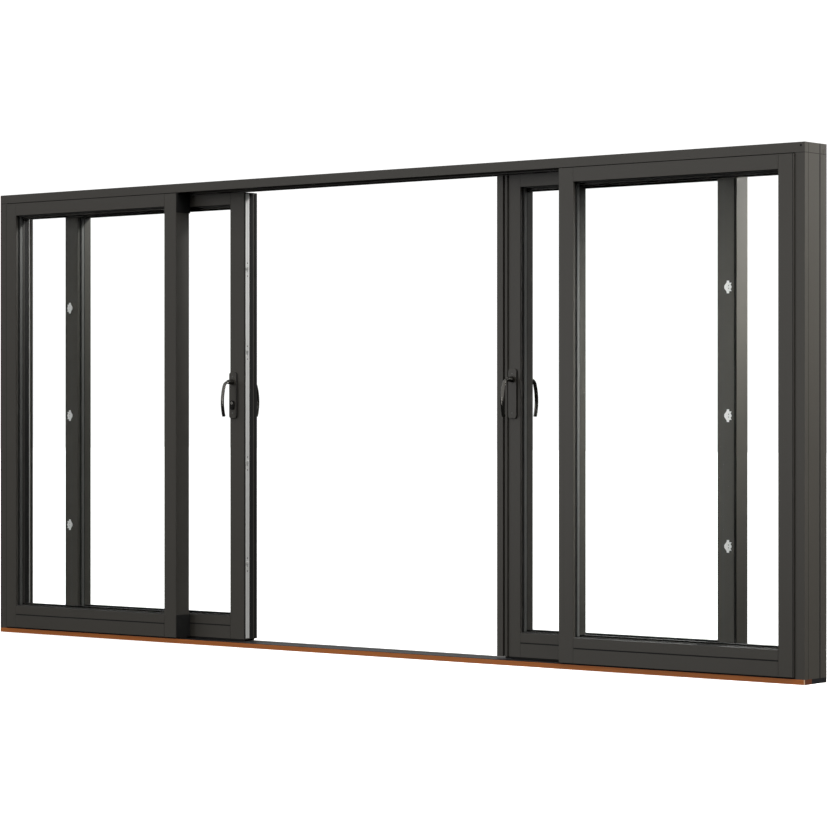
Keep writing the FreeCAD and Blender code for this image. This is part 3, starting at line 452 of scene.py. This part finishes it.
def piece(name, mesh, material, body, replaces=None):
    """Turns a finished shape into an object that moves with a body."""
    bmesh.ops.remove_doubles(mesh, verts=mesh.verts, dist=1e-6)
    bmesh.ops.recalc_face_normals(mesh, faces=mesh.faces)
    data = bpy.data.meshes.new(name)
    mesh.to_mesh(data)
    mesh.free()
    data.materials.append(material)
    made = bpy.data.objects.new(name, data)
    scene.collection.objects.link(made)
    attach(made, body)
    if replaces:
        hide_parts(replaces)


rubber = Finish("black_rubber", Specular_IOR_Level=0.2)
fine = rubber.noise(rubber.place(), 900.0, 2.0)
black_rubber = rubber.finish(
    Base_Color=rubber.mixed(fine, (0.008, 0.008, 0.008), (0.016, 0.016, 0.015)),
    Roughness=0.6 + fine * 0.2,
    Normal=rubber.bump(fine, 0.0001))

plugs = bmesh.new()
for side in SIDES.values():
    strip(plugs, side, *PLUG)
piece("channel_plugs", plugs, grey_paint, "frame")

seals_and_groove_shade = bmesh.new()
for side in SIDES.values():
    strip(seals_and_groove_shade, side, *WIDE_GROOVE_SHADE)
    strip(seals_and_groove_shade, side, *FINE_GROOVE_SHADE, 0.0002)
    strip(seals_and_groove_shade, side, *PANEL_SEAL)
piece("jamb_seals_and_groove_shade", seals_and_groove_shade, black_rubber, "frame")

cap = bmesh.new()
bmesh.ops.create_circle(cap, cap_ends=True, segments=24, radius=CAP_RADIUS,
                        matrix=Matrix.Translation(CAP_PLACE) @ Matrix.Rotation(math.pi / 2, 4, "X"))
disc = cap.faces[:]
bmesh.ops.inset_region(cap, faces=disc, thickness=CAP_RIM)
bmesh.ops.translate(cap, verts=disc[0].verts[:], vec=(0, CAP_DISH, 0))
piece("head_screw_cap", cap, black_rubber, "frame")

# Liners. Strips of light grey plastic on the inner faces of the jambs, clipped in behind the
# fixed panels. They have fine lengthways marks from the extruder.
liner = Finish("light_liner")
cloud = liner.noise(liner.place(), 30.0, 3.0)
fine = liner.noise(liner.stretched((400.0, 400.0, 8.0)), 1.0, 2.0)
dress(liner.finish(
    Base_Color=liner.mixed(cloud, (0.80, 0.80, 0.77), (0.86, 0.86, 0.83)),
    Roughness=0.45 + fine * 0.1,
    Normal=liner.bump(fine, 0.00005)), "jamb_liners")

# Seats. Strips of black rubber that pack the fixed panels off the sill, the head and the jambs.
# They are pressed in dry.
dress(black_rubber, "fixed_seats")

# Sealed glass units. Two panes of clear float glass with ground edges, a hollow aluminium
# spacer between them, and rubber gaskets that grip them behind the lip and at the bead.
PANE = 0.004
COVER = 0.012
SPACER_HEIGHT = 0.013
SPACER_INSET = 0.003
LIP_SLOPE = 0.004
GASKET_RECESS = 0.005
FRONT_GASKET = 0.004
FRONT_PROUD = 0.0015
BACK_GASKET = 0.003
BACK_PROUD = 0.001
BEAD_RISE = 0.010
BEAD_DROP = 0.016


def ring(mesh, low, high, width, slope=0.0):
    """A rectangular frame between two corners, with bars of one width seen from the front."""
    edges = []
    for inset, rise in ((0.0, 0.0), (width, slope)):
        left, right = low[0] + inset, high[0] - inset
        bottom, top = low[2] + inset + rise, high[2] - inset
        corners = [mesh.verts.new((x, low[1], z)) for x, z in
                   ((left, bottom), (right, bottom), (right, top), (left, top))]
        edges += [mesh.edges.new(pair) for pair in zip(corners, corners[1:] + corners[:1])]
    band = bmesh.ops.bridge_loops(mesh, edges=edges)["faces"]
    depth = bmesh.ops.extrude_face_region(mesh, geom=band)["geom"]
    bmesh.ops.translate(mesh, verts=[item for item in depth if isinstance(item, bmesh.types.BMVert)],
                        vec=(0, high[1] - low[1], 0))


pane = Finish("clear_glass", Metallic=1.0)
dust = pane.noise(pane.place(), 3.0, 4.0)
clear_glass = pane.finish(
    Base_Color=pane.mixed(dust, (0.90, 0.92, 0.91), (0.80, 0.82, 0.81)),
    Roughness=0.02 + dust * 0.03)
through = pane.node("BsdfTransparent", Color=(0.996, 0.999, 0.997))
glancing = pane.node("LayerWeight", output=1, Blend=0.5)
mirrored = glancing * glancing * glancing * glancing * glancing * (0.8 + dust * 0.2)
glazed = pane.node("MixShader", _0=mirrored, _1=through, _2=Field(pane, pane.shader.outputs[0]))
pane.tree.links.new(glazed.socket, pane.tree.nodes["Material Output"].inputs["Surface"])

spacer = Finish("spacer_metal", Metallic=0.4)
fine = spacer.noise(spacer.place(), 700.0, 2.0)
# painted shade: the lying bars of the spacer are much darker than the upright ones
lying_shade = abs(spacer.facing(2)) > 0.5
upright_tone = spacer.mixed(fine, (0.115, 0.115, 0.110), (0.150, 0.150, 0.143))
spacer_metal = spacer.finish(
    Base_Color=spacer.mixed(lying_shade, upright_tone, (0.02, 0.02, 0.02)),
    Roughness=0.4 + fine * 0.15,
    Normal=spacer.bump(fine, 0.00005))

for panel, body in PANELS.items():
    low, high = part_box(panel + "_glass")
    panes = bmesh.new()
    block(panes, low, (high.x, low.y + PANE, high.z))
    block(panes, (low.x, high.y - PANE, low.z), high)
    soften(panes, 0.0006, 1)
    piece(panel + "_panes", panes, clear_glass, body, replaces=panel + "_glass")

    inset = Vector((SPACER_INSET, PANE, SPACER_INSET))
    bar = bmesh.new()
    ring(bar, low + inset, high - inset, SPACER_HEIGHT)
    soften(bar, 0.0008)
    piece(panel + "_spacer", bar, spacer_metal, body)

    hidden = COVER - GASKET_RECESS
    left, right = low.x + hidden, high.x - hidden
    bottom, top = low.z + hidden, high.z - hidden
    gaskets = bmesh.new()
    ring(gaskets, (left, low.y - FRONT_GASKET, bottom), (right, low.y, top),
         GASKET_RECESS + FRONT_PROUD, LIP_SLOPE)
    ring(gaskets, (left, high.y, bottom + BEAD_RISE), (right, high.y + BACK_GASKET, top - BEAD_DROP),
         GASKET_RECESS + BACK_PROUD)
    soften(gaskets, 0.0007)
    piece(panel + "_gaskets", gaskets, black_rubber, body)

# Seals of the leaves. Black rubber strips in the step along each outer edge and on both sides of
# the lock and strike strips, and brush strips under the leaves. Black pads at the top and the
# bottom, between a fixed panel and its leaf, stand in for the shade in that corner: painted shade.
LEAF_FRONT = 0.006
LEAF_BACK = 0.092
LEAF_FOOT = 0.029
LEAF_TOP = 2.031
SILL_FACE = 0.020
SEAL_ENDS = (LEAF_FOOT + 0.002, LEAF_TOP - 0.002)
OUTER_SEAL = (LEAF_FRONT + 0.0015, LEAF_FRONT + 0.0088)
EDGE_SEALS = ((0.0085, 0.0148), (0.0430, 0.0640), (0.0725, 0.0908))
BRUSH_PLACES = (LEAF_FRONT + 0.003, LEAF_BACK - 0.022)
BRUSH_WIDTH = 0.008
BRUSH_HEIGHT = (SILL_FACE + 0.0012, LEAF_FOOT + 0.0002)
SHADE_PAD_HEIGHTS = ((0.0275, 0.128), (1.950, 2.0365))
SHADE_PAD_REACH = 0.060
GROOVE_DEPTH = (0.0012, 0.0039)
GROOVE_HEIGHT = (0.0861, 0.0889)

for name, side in SIDES.items():
    leaf = name + "_leaf"
    stile_low, stile_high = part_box(leaf + "_outer_stile")
    outer = max(abs(stile_low.x), abs(stile_high.x))
    stile_low, stile_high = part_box(leaf + "_inner_stile")
    meeting = min(abs(stile_low.x), abs(stile_high.x))
    edges = bmesh.new()
    strip(edges, side, (outer - 0.0078, outer - 0.0018), OUTER_SEAL, SEAL_ENDS, 0.0012)
    for depth in EDGE_SEALS:
        strip(edges, side, (meeting - 0.0018, meeting + 0.0005), depth, SEAL_ENDS, 0.0008)
    piece(leaf + "_edge_seals", edges, black_rubber, leaf)

    brushes = bmesh.new()
    for near in BRUSH_PLACES:
        strip(brushes, side, (meeting + 0.004, outer - 0.004), (near, near + BRUSH_WIDTH),
              BRUSH_HEIGHT, 0.0008)
    piece(leaf + "_brushes", brushes, black_rubber, leaf)

    panel_low, panel_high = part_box(name + "_fixed_inner_stile")
    panel_edge = min(abs(panel_low.x), abs(panel_high.x))
    shade_pads = bmesh.new()
    for height in SHADE_PAD_HEIGHTS:
        strip(shade_pads, side, (panel_edge - 0.0012, panel_edge + 0.0005),
              (panel_low.y + 0.0025, panel_high.y - 0.0005), height, 0.0005)
        strip(shade_pads, side, (panel_edge - 0.0010, panel_edge + SHADE_PAD_REACH),
              (panel_high.y - 0.0003, LEAF_FRONT - 0.0010), height, 0.0008)
    piece(name + "_fixed_pads", shade_pads, black_rubber, "frame")

# Black strips laid in the shadow-line groove of each bottom rail darken it: painted shade.
for panel in PANELS:
    low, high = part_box(panel + "_bottom_rail")
    groove = bmesh.new()
    strip(groove, 1, (low.x + 0.0002, high.x - 0.0002), [low.y + depth for depth in GROOVE_DEPTH],
          GROOVE_HEIGHT, 0.0003)
    piece(panel + "_rail_line", groove, black_rubber, PANELS[panel])

# Running gear. Roller carriages of pressed steel in the bottom rail, two to a leaf, and black
# nylon shoes screwed to the top rail, which run in the guide channel.
roller = Finish("roller_steel", Metallic=1.0)
fine = roller.noise(roller.stretched((60.0, 900.0, 60.0)), 1.0, 2.0)
dress(roller.finish(
    Base_Color=roller.mixed(fine, (0.25, 0.25, 0.24), (0.36, 0.36, 0.35)),
    Roughness=0.3 + fine * 0.2,
    Normal=roller.bump(fine, 0.00005)), "left_leaf_rollers", "right_leaf_rollers")
nylon = Finish("black_plastic")
fine = nylon.noise(nylon.place(), 800.0, 2.0)
dress(nylon.finish(
    Base_Color=nylon.mixed(fine, (0.012, 0.012, 0.012), (0.022, 0.022, 0.021)),
    Roughness=0.45 + fine * 0.15,
    Normal=nylon.bump(fine, 0.0001)), "left_leaf_guide_shoes", "right_leaf_guide_shoes")

# Handles. Cast levers in a smooth dark metallic coat, on painted plates whose sides are painted
# near black next to the leaf. Each plate is held by two countersunk screws with a socket in the head.
HANDLES = {"left_leaf": -0.807, "right_leaf": 0.772}
PLATE = 0.008
PLATE_DARK_DEPTH = 0.0068
SCREW_LEVELS = (1.207, 1.043)
SCREW_RADIUS = 0.0038
SCREW_PROUD = 0.0002


def plate_dark_sides(paint):
    return (paint.axis(1) > LEAF_FRONT - PLATE_DARK_DEPTH) * (paint.axis(1) < LEAF_BACK + PLATE_DARK_DEPTH)


def screw(mesh, centre, outward):
    """A countersunk head with a socket, facing along Y."""
    turn = Matrix.Rotation(math.pi / 2 * outward, 4, "X")
    head = bmesh.ops.create_cone(mesh, cap_ends=True, segments=16, radius1=SCREW_RADIUS * 0.8,
                                 radius2=SCREW_RADIUS, depth=0.0008,
                                 matrix=Matrix.Translation(centre) @ turn)["verts"]
    face = max((face for vert in head for face in vert.link_faces),
               key=lambda face: face.calc_center_median().y * -outward + len(face.verts) * 0.001)
    bmesh.ops.inset_region(mesh, faces=[face], thickness=SCREW_RADIUS * 0.45)
    bmesh.ops.translate(mesh, verts=face.verts[:], vec=(0, 0.0005 * outward, 0))


lever_coat = powder_coat("lever_coat", light=(0.13, 0.125, 0.115), dark=(0.10, 0.095, 0.085), roughness=0.06,
                         Metallic=0.9)
plate_coat = powder_coat("plate_coat", plate_dark_sides, roughness=0.34)
steel = Finish("screw_steel", Metallic=0.9)
fine = steel.noise(steel.place(), 900.0, 2.0)
screw_steel = steel.finish(
    Base_Color=steel.mixed(fine, (0.12, 0.12, 0.115), (0.20, 0.20, 0.19)),
    Roughness=0.35 + fine * 0.2)
for leaf, middle in HANDLES.items():
    dress(lever_coat, leaf + "_outside_lever", leaf + "_inside_lever")
    dress(plate_coat, leaf + "_handle_plates")
    screws = bmesh.new()
    for level in SCREW_LEVELS:
        screw(screws, (middle, LEAF_FRONT - PLATE - SCREW_PROUD, level), 1)
        screw(screws, (middle, LEAF_BACK + PLATE + SCREW_PROUD, level), -1)
    piece(leaf + "_plate_screws", screws, screw_steel, leaf)

# Key cylinder. A dark nickel oval that stands through the left outside plate, with a brighter
# turned plug in its upper half and a narrow keyway cut in the plug.
PLUG_MIDDLE = HANDLES["left_leaf"]
PLUG_LEVEL = 1.087
PLUG_RADIUS = 0.0068
KEYWAY_WIDTH = 0.0014
KEYWAY_HEIGHT = (PLUG_LEVEL - 0.0045, PLUG_LEVEL + 0.0035)
nickel = Finish("cylinder_metal", Metallic=0.9)
fine = nickel.noise(nickel.stretched((900.0, 900.0, 60.0)), 1.0, 2.0)
from_plug = nickel.node("VectorMath", {"operation": "DISTANCE"}, output=1,
                        _0=nickel.stretched((1.0, 0.0, 1.0)), _1=(PLUG_MIDDLE, 0.0, PLUG_LEVEL))
dark = nickel.mixed(fine, (0.012, 0.012, 0.011), (0.022, 0.021, 0.020))
dress(nickel.finish(
    Base_Color=nickel.mixed(from_plug < PLUG_RADIUS, dark, (0.30, 0.29, 0.27)),
    Roughness=0.26 + fine * 0.15,
    Normal=nickel.bump(fine, 0.00005)), "left_leaf_key_cylinder")
cylinder_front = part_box("left_leaf_key_cylinder")[0].y
keyway = bmesh.new()
strip(keyway, 1, (PLUG_MIDDLE - KEYWAY_WIDTH / 2, PLUG_MIDDLE + KEYWAY_WIDTH / 2),
      (cylinder_front - 0.0002, cylinder_front + 0.001), KEYWAY_HEIGHT, 0.0003)
piece("left_leaf_keyway", keyway, black_rubber, "left_leaf")

# Lock and strike strips. Satin silver strips let into the meeting edges, with a fine line down
# their middle, and screwed on above and below each hook.
STRIP_MIDDLE = 0.0285
STRIP_LINE = 0.004
STRIP_FACES = {"left": 0.744, "right": 0.724}
HOOKS = (0.370, 0.823, 1.320, 1.692)
FROM_HOOK = (0.022, -0.036)
silver = Finish("lock_metal", Metallic=0.25)
fine = silver.noise(silver.stretched((900.0, 900.0, 12.0)), 1.0, 3.0)
bright = silver.mixed(fine, (0.66, 0.66, 0.635), (0.76, 0.76, 0.73))
dress(silver.finish(
    Base_Color=silver.mixed(line(silver, 1, STRIP_MIDDLE, STRIP_LINE) * 0.35, bright, (0.30, 0.30, 0.29)),
    Roughness=0.36 + fine * 0.15,
    Normal=silver.bump(fine, 0.00005)), "left_leaf_lock_strip", "right_leaf_strike_strip")
for name, side in SIDES.items():
    screws = bmesh.new()
    turn = Matrix.Rotation(math.pi / 2 * -side, 4, "Y")
    for hook in HOOKS:
        for rise in FROM_HOOK:
            centre = ((STRIP_FACES[name] - 0.0001) * side, STRIP_MIDDLE, hook + rise)
            bmesh.ops.create_cone(screws, cap_ends=True, segments=16, radius1=0.0028, radius2=0.0034,
                                  depth=0.0006, matrix=Matrix.Translation(centre) @ turn)
    piece(f"{name}_leaf_strip_screws", screws, screw_steel, name + "_leaf")

# Wedge blocks. Bright zinc castings on the fronts of the outer stiles, each with two screw
# holes. They press the closed leaf against its seals.
zinc = Finish("zinc_fitting", Metallic=0.25)
fine = zinc.noise(zinc.place(), 500.0, 3.0)
dress(zinc.finish(
    Base_Color=zinc.mixed(fine, (0.88, 0.88, 0.87), (0.96, 0.96, 0.95)),
    Roughness=0.35 + fine * 0.2,
    Normal=zinc.bump(fine, 0.0001)), "left_leaf_wedges", "right_leaf_wedges")

low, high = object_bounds()
